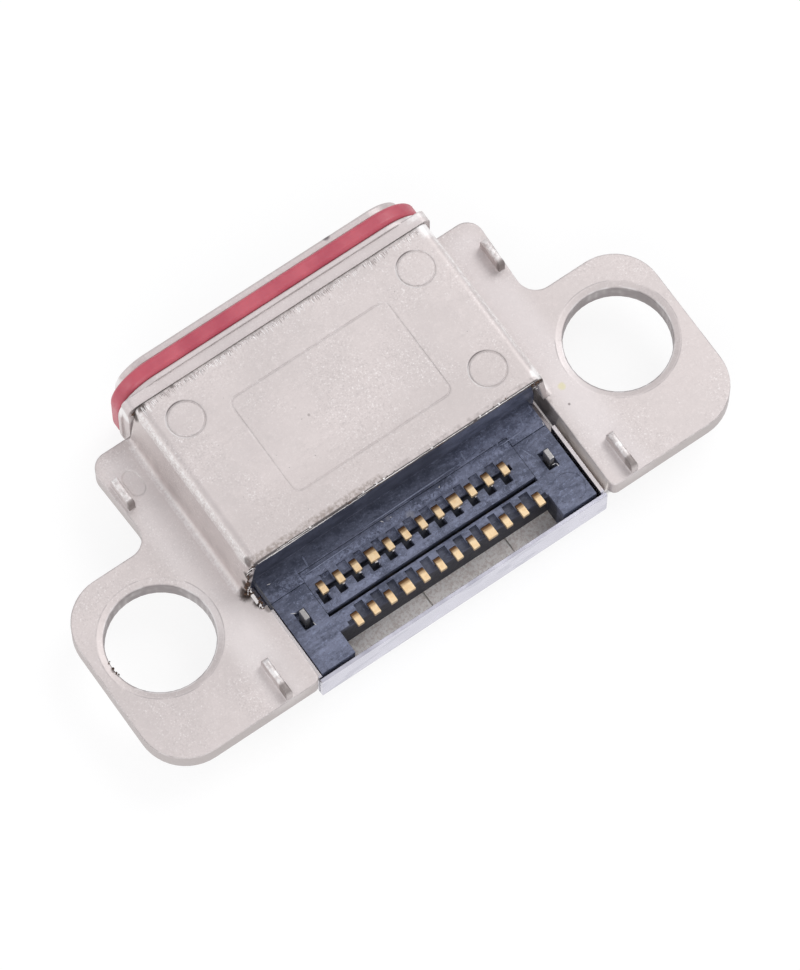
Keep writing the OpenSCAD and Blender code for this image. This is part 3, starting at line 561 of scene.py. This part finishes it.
# Painted highlights on the -X bend and foot of the hood, painted light on the -X wing's inner face with
# painted shade near the hood, and painted light on the ears beside the hood's foot
SIDE_LIGHT_AND_SHADE = (
    ((-4.62, -4.9, 1.38), (-4.30, 0.4, 1.8), 0.05, 0.85, HIGHLIGHT_WHITE, 0.16),
    ((-4.78, -4.9, -0.05), (-4.60, 0.1, 0.2), 0.03, 0.3, HIGHLIGHT_WHITE),
    ((-4.53, 0.85, -0.7), (-4.3, 3.3, -0.015), 0.012, 1.0, (0.82, 0.76, 0.72)),
    ((-4.56, 0.3, -0.8), (-4.2, 1.7, -0.015), 0.3, 0.6, (0.30, 0.27, 0.25), 0.3),
    ((4.75, -4.6, -0.3), (5.7, 3.2, 0.1), 0.3, 0.6, (0.86, 0.81, 0.80)),
    ((-5.7, -4.6, -0.3), (-4.75, 3.2, 0.1), 0.3, 0.5, (0.84, 0.79, 0.79)),
)

# The +X side of the hood: painted highlights on its bend and its foot, and painted shade on the wall
# between them
LEFT_LIGHT_AND_SHADE = (
    ((4.31, -4.8, 1.35), (4.47, 0.1, 1.75), 0.035, 0.75, HIGHLIGHT_WHITE, 0.055),
    ((4.66, -4.6, -0.05), (4.80, 0.1, 0.2), 0.03, 0.55, HIGHLIGHT_WHITE, 0.055),
    ((4.52, -4.7, 0.2), (4.72, 0.2, 1.2), 0.05, 0.35, (0.42, 0.38, 0.37), 0.5),
)
# Painted shade along the lip's front edge, as a dark outline
LIP_EDGE_SHADE = ((-5, -7, 0.2), (5, LIP_FRONT - 0.01, 3), 0.015, 0.55, (0.26, 0.24, 0.24))

# How far a tab's marks reach to either side of its middle, and up to what height
TAB_HALF = 0.2
TAB_TOP = 0.6


# Each mark on steel is a function that takes a Shade and returns the mark's mask and colour
def spot(place, radius, strength, color):
    return lambda s: (s.times(s.near(place, radius), strength), color)


def patch(low, high, soft, strength, color, breaks_mm=0.0):
    """Mark inside a box, broken up by noise where breaks_mm is given."""
    def mark(s):
        mask = s.times(s.box_mask(low, high, soft), strength)
        if breaks_mm:
            mask = s.times(mask, s.range(s.noise(breaks_mm, 4.0, 0.7, 31), 0.40, 0.62, 0.12, 1.0))
        return mask, color
    return mark


def weld_arc(centre, toward, strength, color):
    """Lit or shaded side of a weld ring."""
    return lambda s: (s.times(s.arc_mask(centre, WELD_RADIUS, 0.022, toward), strength), color)


def hole_rim(centre, beyond, width, strength, color):
    """Broken ring a little way beyond a screw hole's edge."""
    return lambda s: (s.times(s.rim_mask(centre, HOLE_RADIUS + beyond, width), strength), color)


def hole_wall(centre, strength, color):
    return lambda s: (s.times(s.tube_mask(centre, HOLE_RADIUS + 0.02), strength), color)


def tab_marks(x, y, length):
    """Painted shade on a tab, darker at its rear end, and a painted highlight along its top edge."""
    left, right = x - TAB_HALF, x + TAB_HALF
    front, rear = y - length / 2, y + length / 2
    # dull and dark are painted shade on the tab's sides and rear end
    dull, dark = (0.47, 0.43, 0.42), (0.20, 0.17, 0.16)
    return [
        patch((left, front - 0.1, 0.04), (right, rear + 0.1, TAB_TOP), 0.02, 0.5, dull, 0.2),
        patch((left, rear - 0.10, 0.04), (right, rear + 0.2, TAB_TOP), 0.05, 0.75, dark),
        patch((left, front, 0.36), (right, rear - 0.12, TAB_TOP), 0.03, 0.8, HIGHLIGHT_WHITE, 0.15),
    ]


def bracket_marks():
    """Painted shade and highlights in bands, on tabs, screw holes and weld rings; brown dirt; burns; and
    one yellow speck.
    """
    marks = [patch(*band) for band in HOOD_SHADE_AND_DIRT + SIDE_LIGHT_AND_SHADE + LEFT_LIGHT_AND_SHADE]
    for x, y, length in TABS:
        marks += tab_marks(x, y, length) + tab_marks(-x, y, length)
    # Painted shade on the screw holes' walls, a darker broken ring beyond each, and painted highlights
    # on their rims
    marks += [hole_wall(hole, 0.75, (0.24, 0.21, 0.215)) for hole in HOLES]
    marks += [hole_rim(hole, 0.19, 0.022, 0.55, (0.36, 0.33, 0.33)) for hole in HOLES]
    marks += [hole_rim(hole, 0.02, 0.03, 0.5, HIGHLIGHT_WHITE) for hole in HOLES]
    marks += [weld_arc(weld, (0.6, -0.8), 0.85, (0.20, 0.17, 0.17)) for weld in WELDS]
    marks += [weld_arc(weld, (1.0, 0.2), 0.6, HIGHLIGHT_WHITE) for weld in WELDS]
    marks += [spot(*place, HIGHLIGHT_WHITE) for place in PAINTED_HIGHLIGHTS]
    marks += [spot(*place, SOOT) for place in BURNS]
    return marks + [spot(*YELLOW_SPOT, (0.70, 0.66, 0.30))]


def shell_marks():
    """Glints at the ends of the collar and lip, and painted shade as the lip's dark outline and in its
    nick.
    """
    glints = [spot(*place, (0.96, 0.95, 0.94)) for place in SHELL_GLINTS]
    return glints + [patch(*LIP_EDGE_SHADE), spot(*LIP_NICK_SHADE, (0.12, 0.10, 0.11))]


def assign(material, *names):
    for name in names:
        mesh = NODES[name].data
        mesh.materials.clear()
        mesh.materials.append(material)


def dress_cad_nodes():
    bracket = steel("bracket plating", (0.66, 0.60, 0.585), sandy_box=SANDY_FRONT, marks=bracket_marks())
    shell = steel("shell plating", (0.66, 0.60, 0.59), edge_mm=0.04, sandy=0.5, marks=shell_marks(),
                  offset=20)
    plate = steel("plate steel", (0.40, 0.385, 0.38), metallic=0.8, rough=0.35, edge_mm=0.02, offset=40)
    assign(bracket, "bracket")
    assign(shell, "mouth_shell")
    assign(plate, "mid_plate", "ground_plate_upper", "ground_plate_lower")
    assign(bright_cover(), "rear_cover")
    assign(silicone(), "seal_ring")
    assign(moulded_plastic(), "tongue_housing", "front_contact_carrier", "rear_contact_carrier")
    assign(gold(), *[name for name in NODES if name.startswith("contact_")])


# How far a ridge is let into the face that it stands on, and the number of sides of a burr
SUNK = 0.001
BURR_SIDES = 6


def add_ridge(work, start, end, width, height):
    """Low pointed ridge on a face that looks up, all in millimetres."""
    def corners(points):
        return [work.verts.new(point * MM) for point in points]

    start, end = Vector(start), Vector(end)
    run = end - start
    aside = Vector((-run.y, run.x, 0)).normalized() * width / 2
    up = Vector((0, 0, height))
    spine = [start + run * 0.22, start + run * 0.7]
    tips = corners([start, end])
    left = corners([point + aside for point in spine])
    right = corners([point - aside for point in spine])
    top = corners([point + up for point in spine])
    for side in (left, right):
        work.faces.new((tips[0], side[0], top[0]))
        work.faces.new((side[0], side[1], top[1], top[0]))
        work.faces.new((side[1], tips[1], top[1]))


def add_lump(work, place, radii, seed):
    """Ragged blob with half sizes radii, in millimetres."""
    shift = Vector((seed * 3.1, seed * 1.7, seed))
    made = bmesh.ops.create_icosphere(work, subdivisions=2, radius=1.0)
    for vert in made["verts"]:
        push = 1 + 0.55 * noise.noise(vert.co * 1.7 + shift)
        vert.co = Vector([(c * push * r + p) * MM for c, r, p in zip(vert.co, radii, place)])


def add_wire(work, points, radius):
    """Thin burr that follows points and tapers at both ends, in millimetres."""
    turns = [math.tau * k / BURR_SIDES for k in range(BURR_SIDES)]
    circle = [Vector((math.cos(turn), math.sin(turn), 0)) for turn in turns]
    points = [Vector(point) for point in points]
    last = len(points) - 1
    rings = []
    for i, point in enumerate(points):
        ahead = points[min(i + 1, last)] - points[max(i - 1, 0)]
        aim = ahead.to_track_quat("Z", "Y")
        size = radius * (0.35 + 0.65 * math.sin(math.pi * (i + 0.5) / (last + 1)))
        rings.append([work.verts.new((point + aim @ (corner * size)) * MM) for corner in circle])
    for a, b in zip(rings, rings[1:]):
        for k in range(BURR_SIDES):
            after = (k + 1) % BURR_SIDES
            work.faces.new((a[k], a[after], b[after], b[k]))
    work.faces.new(rings[0][::-1])
    work.faces.new(rings[-1])


def add_piece(name, build, material):
    """A surface detail as a mesh of its own, riding on the part."""
    work = bmesh.new()
    build(work)
    bmesh.ops.recalc_face_normals(work, faces=work.faces)
    mesh = bpy.data.meshes.new(name)
    work.to_mesh(mesh)
    work.free()
    mesh.materials.append(material)
    piece = link_object(name, mesh)
    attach(piece, "root")


# Where the scrapes along the hood's front edge begin and end, along X
HAIRS_FROM, HAIRS_TO = -4.1, 4.25


def hood_front_hairs(seed, density, longest):
    """Short scrapes that run back from the hood's front edge."""
    def build(work):
        rng = random.Random(seed)
        z = HOOD_TOP - SUNK
        x = HAIRS_FROM
        while x < HAIRS_TO:
            x += rng.uniform(0.012, 0.04)
            rough = 0.5 + noise.noise(Vector((x * 1.3, seed, 0)))
            if rng.random() > density * (0.6 + rough):
                continue
            length = rng.uniform(0.25, 1.0) * longest * (0.5 + rough)
            y = HOOD_FRONT + rng.uniform(0.02, 0.07)
            end = (x + rng.uniform(-0.015, 0.015), y + length, z)
            width = rng.uniform(0.012, 0.02)
            add_ridge(work, (x, y, z), end, width, rng.uniform(0.004, 0.008))
    return build


# Glints and dark bits along the hood's rear edge, as distances from the middle line
REAR_GLINTS = (1.01, 0.60, 0.39, -1.05, -2.51, -3.08, 2.6)
REAR_BITS = (0.86, 0.68, 0.28, 0.06, -1.14, -1.25, -2.90, -3.29, 3.3, 1.5)

# Bright torn lines along the hood's rear edge, which also paint the highlight along it, as (from X, to
# X, height, thickness)
REAR_LINES = (
    (4.18, 2.7, 1.60, 0.021),
    (2.75, 1.9, 1.585, 0.015),
    (1.95, 0.95, 1.60, 0.013),
    (1.2, -0.9, 1.705, 0.012),
    (-0.8, -2.3, 1.70, 0.009),
    (-2.4, -3.4, 1.70, 0.013),
    (-3.3, -4.1, 1.71, 0.010),
    (3.6, 2.5, 1.71, 0.008),
)
LINE_STEPS = 24


# Torn burrs along the hood's rear edge in bright steel, which also paints its highlight, and lumps as
# painted glints
def hood_rear_burrs(work):
    rng = random.Random(11)
    for start, end, level, radius in REAR_LINES:
        points = []
        for i in range(LINE_STEPS + 1):
            x = start + (end - start) * i / LINE_STEPS
            y = HOOD_REAR + 0.006 + rng.uniform(0.0, 0.008)
            points.append((x, y, level + rng.uniform(-0.006, 0.006)))
        add_wire(work, points, radius)
    for k, x in enumerate(REAR_GLINTS):
        add_lump(work, (x, HOOD_REAR - 0.02, HOOD_TOP - 0.01), (0.035, 0.028, 0.018), k)


def hood_rear_scale(work):
    for k, x in enumerate(REAR_BITS):
        add_lump(work, (x, HOOD_REAR - 0.03, HOOD_TOP - 0.02), (0.06, 0.035, 0.022), k + 20)
        add_lump(work, (x - 0.08, HOOD_REAR, HOOD_TOP - 0.08), (0.07, 0.02, 0.04), k + 40)


# Scale in the corners where the hood was welded, as (place, spread, count, size)
CRUSTS = (
    ((4.56, 0.29, 0.03), (0.06, 0.04, 0.03), 14, 0.05),
    ((4.53, 0.27, 0.30), (0.02, 0.012, 0.14), 12, 0.04),
    ((4.49, 0.265, 0.80), (0.018, 0.010, 0.16), 10, 0.035),
    ((4.45, 0.265, 1.30), (0.018, 0.010, 0.12), 10, 0.03),
    ((4.34, 0.265, 1.56), (0.05, 0.010, 0.04), 10, 0.035),
    ((4.40, 0.62, -0.01), (0.04, 0.14, 0.015), 12, 0.04),
    ((-4.28, 0.265, 1.52), (0.07, 0.010, 0.07), 10, 0.04),
    ((-4.10, 0.265, 1.60), (0.10, 0.010, 0.04), 8, 0.03),
    ((4.40, -4.80, 1.42), (0.07, 0.010, 0.11), 10, 0.04),
)


def corner_crust(work):
    rng = random.Random(5)
    for centre, spread, count, size in CRUSTS:
        for _ in range(count):
            place = [c + rng.gauss(0, w) for c, w in zip(centre, spread)]
            radii = [size * rng.uniform(0.35, 1.0) for _ in range(3)]
            add_lump(work, place, radii, rng.random() * 50)


def hole_debris(work):
    """Grit on the wall of the left screw hole, round its outermost point."""
    rng = random.Random(9)
    for _ in range(9):
        angle = math.radians(rng.uniform(-9, 10))
        radius = HOLE_RADIUS + rng.uniform(-0.03, 0.05)
        x = HOLES[0][0] + radius * math.cos(angle)
        place = (x, radius * math.sin(angle), rng.uniform(-0.09, -0.01))
        radii = [rng.uniform(0.015, 0.04) for _ in range(3)]
        add_lump(work, place, radii, rng.random() * 50)


# Bright curled burrs at the ends of the hood's rear edge, as (centre, radius, first angle)
CURLS = (
    ((-4.12, 0.30, 1.36), 0.05, 0.0),
    ((-4.26, 0.30, 1.42), 0.045, 2.0),
    ((-4.20, 0.31, 1.28), 0.035, 4.0),
    ((4.40, 0.30, 1.50), 0.12, 0.2),
    ((4.46, 0.31, 1.38), 0.10, 0.6),
    ((4.52, 0.32, 0.30), 0.09, 1.2),
)
CURL_STEPS, CURL_TURN = 12, 0.3
CORNER_BEADS = ((4.53, 0.33, 0.42), (4.54, 0.33, 0.28), (4.55, 0.34, 0.14), (4.50, 0.34, 0.55))


def corner_curls(work):
    for (x, y, z), size, first in CURLS:
        turns = [first + CURL_TURN * k for k in range(CURL_STEPS)]
        curl = [(x + size * math.cos(turn), y, z + size * math.sin(turn)) for turn in turns]
        add_wire(work, curl, 0.010)
    for k, place in enumerate(CORNER_BEADS):
        add_lump(work, place, (0.018, 0.014, 0.04), k + 70)


# Raised flow lines on the housing's ledge and on an end block, as (start, end)
LEDGE_LINES = (
    ((2.82, 0.17), (2.86, 0.53)),
    ((-3.74, 0.24), (-3.70, 0.50)),
    ((-2.96, 0.25), (-2.84, 0.59)),
    ((-2.77, 0.22), (-2.74, 0.55)),
    ((-1.99, 0.16), (-1.96, 0.50)),
    ((-4.12, 0.09), (-4.10, 0.30)),
    ((-2.84, 0.59), (-3.70, 0.57)),
    ((1.30, 0.44), (-1.90, 0.40)),
    ((3.10, 0.62), (1.40, 0.60)),
)
BLOCK_LINES = (((-3.30, 0.95), (-3.45, 1.35)),)

# Splinters on the ledge and beside the pegs on the end blocks, given in the same way
LEDGE_SPLINTERS = (
    ((-4.14, 0.68), (-4.12, 0.78)),
    ((3.98, 0.30), (3.86, 0.33)),
    ((0.70, 0.52), (0.64, 0.60)),
    ((0.44, 0.58), (0.40, 0.60)),
    ((-1.05, 0.60), (-1.00, 0.64)),
)
BLOCK_SPLINTERS = (
    ((3.92, 1.24), (3.77, 1.32)),
    ((3.57, 1.74), (3.55, 1.86)),
    ((-3.68, 1.74), (-3.80, 1.75)),
    ((-3.80, 1.75), (-3.81, 1.87)),
)

# Pale lumps behind the front row of tails, as painted glints off the contacts, given as (number of the
# contact, half length), and their place along Y
TAIL_GLINTS = (
    (11, 0.045), (10, 0.05), (9, 0.06), (8, 0.035), (7, 0.035),
    (6, 0.035), (5, 0.035), (4, 0.05), (3, 0.03), (2, 0.03),
)
TAIL_GLINT_Y = 1.335


def add_lines(work, lines, face, width, height):
    """Ridges on a level face of the mouldings."""
    z = face - SUNK
    for start, end in lines:
        add_ridge(work, (*start, z), (*end, z), width, height)


def flow_lines(work):
    add_lines(work, LEDGE_LINES, LEDGE_TOP, 0.045, 0.016)
    add_lines(work, BLOCK_LINES, BLOCK_TOP, 0.045, 0.016)


def pale_flecks_and_glints(work):
    """Splinters on the plastic, and pale lumps behind the front row of tails as painted glints."""
    add_lines(work, BLOCK_SPLINTERS, BLOCK_TOP, 0.022, 0.012)
    add_lines(work, LEDGE_SPLINTERS, LEDGE_TOP, 0.022, 0.012)
    for number, size in TAIL_GLINTS:
        x = (number - (CONTACTS + 1) / 2) * PITCH + TAIL_STEP
        add_lump(work, (x - 0.02, TAIL_GLINT_Y, -0.27), (size, size * 0.45, 0.02), number)
        add_lump(work, (x - 0.06, TAIL_GLINT_Y + 0.065, -0.33), (size * 0.5, size * 0.5, 0.02), number + 30)


def add_details():
    # The bright burr tone also makes painted glints and the painted highlight lines along the hood's
    # rear edge
    bright = burr_steel("bright burr", (0.90, 0.87, 0.86), 0.25)
    dull = burr_steel("dull burr", (0.42, 0.37, 0.36), 0.45)
    scale = burnt_scale()
    short_hairs = hood_front_hairs(seed=3, density=0.55, longest=0.17)
    long_hairs = hood_front_hairs(seed=4, density=0.55, longest=0.22)
    add_piece("hood_front_hairs_dull", short_hairs, dull)
    add_piece("hood_front_hairs_bright", long_hairs, bright)
    add_piece("hood_rear_burrs", hood_rear_burrs, bright)
    add_piece("hood_rear_scale", hood_rear_scale, scale)
    add_piece("corner_crust", corner_crust, scale)
    add_piece("corner_curls", corner_curls, bright)
    add_piece("hole_debris", hole_debris, scale)
    add_piece("flow_lines", flow_lines, rubbed_and_lit_plastic())
    add_piece("pale_flecks_and_glints", pale_flecks_and_glints, pale_fleck())


def ground_material():
    """White where the camera sees it, also in reflections, but still with a faint shadow on it."""
    s = Shade("pale ground")
    s.set(roughness=1.0, specular_ior_level=0.0, base_color=(0.9, 0.9, 0.9, 1))
    glow = s.add("ShaderNodeEmission")
    glow.inputs["Strength"].default_value = GROUND_GLOW
    path = s.add("ShaderNodeLightPath")
    seen = s.math("MAXIMUM", path.outputs["Is Camera Ray"], path.outputs["Is Glossy Ray"])
    seen = s.math("MAXIMUM", seen, path.outputs["Is Transmission Ray"])
    open_ground = s.math("SUBTRACT", 1.0, s.box_mask(*DARK_GROUND))
    blend = s.add("ShaderNodeMixShader")
    s.feed(blend.inputs[0], s.times(seen, open_ground, 0.8))
    s.feed(blend.inputs[1], s.shader.outputs[0])
    s.feed(blend.inputs[2], glow.outputs[0])
    s.feed(s.tree.nodes["Material Output"].inputs["Surface"], blend.outputs[0])
    return s.material


def make_ground():
    mesh = bpy.data.meshes.new("floor")
    signs = ((-1, -1), (1, -1), (1, 1), (-1, 1))
    corners = [(x * GROUND_HALF, y * GROUND_HALF, cad_low.z) for x, y in signs]
    mesh.from_pydata(corners, [], [(0, 1, 2, 3)])
    mesh.materials.append(ground_material())
    floor = link_object("floor", mesh)


def make_light():
    world = bpy.data.worlds.new("studio")
    bpy.context.scene.world = world
    world.use_nodes = True
    sky = world.node_tree.nodes["Background"].inputs
    sky["Color"].default_value = SKY_COLOR
    sky["Strength"].default_value = SKY_STRENGTH
    for name, place, diameter, power in LAMPS:
        data = bpy.data.lights.new(name, "AREA")
        data.shape = "DISK"
        data.size = diameter
        data.energy = power
        lamp = link_object(name, data)
        lamp.location = place
        lamp.rotation_mode = "QUATERNION"
        lamp.rotation_quaternion = (-Vector(place)).to_track_quat("-Z", "Y")


bpy.context.scene.view_settings.view_transform = "Standard"
make_camera()
make_light()
make_ground()
dress_cad_nodes()
add_details()
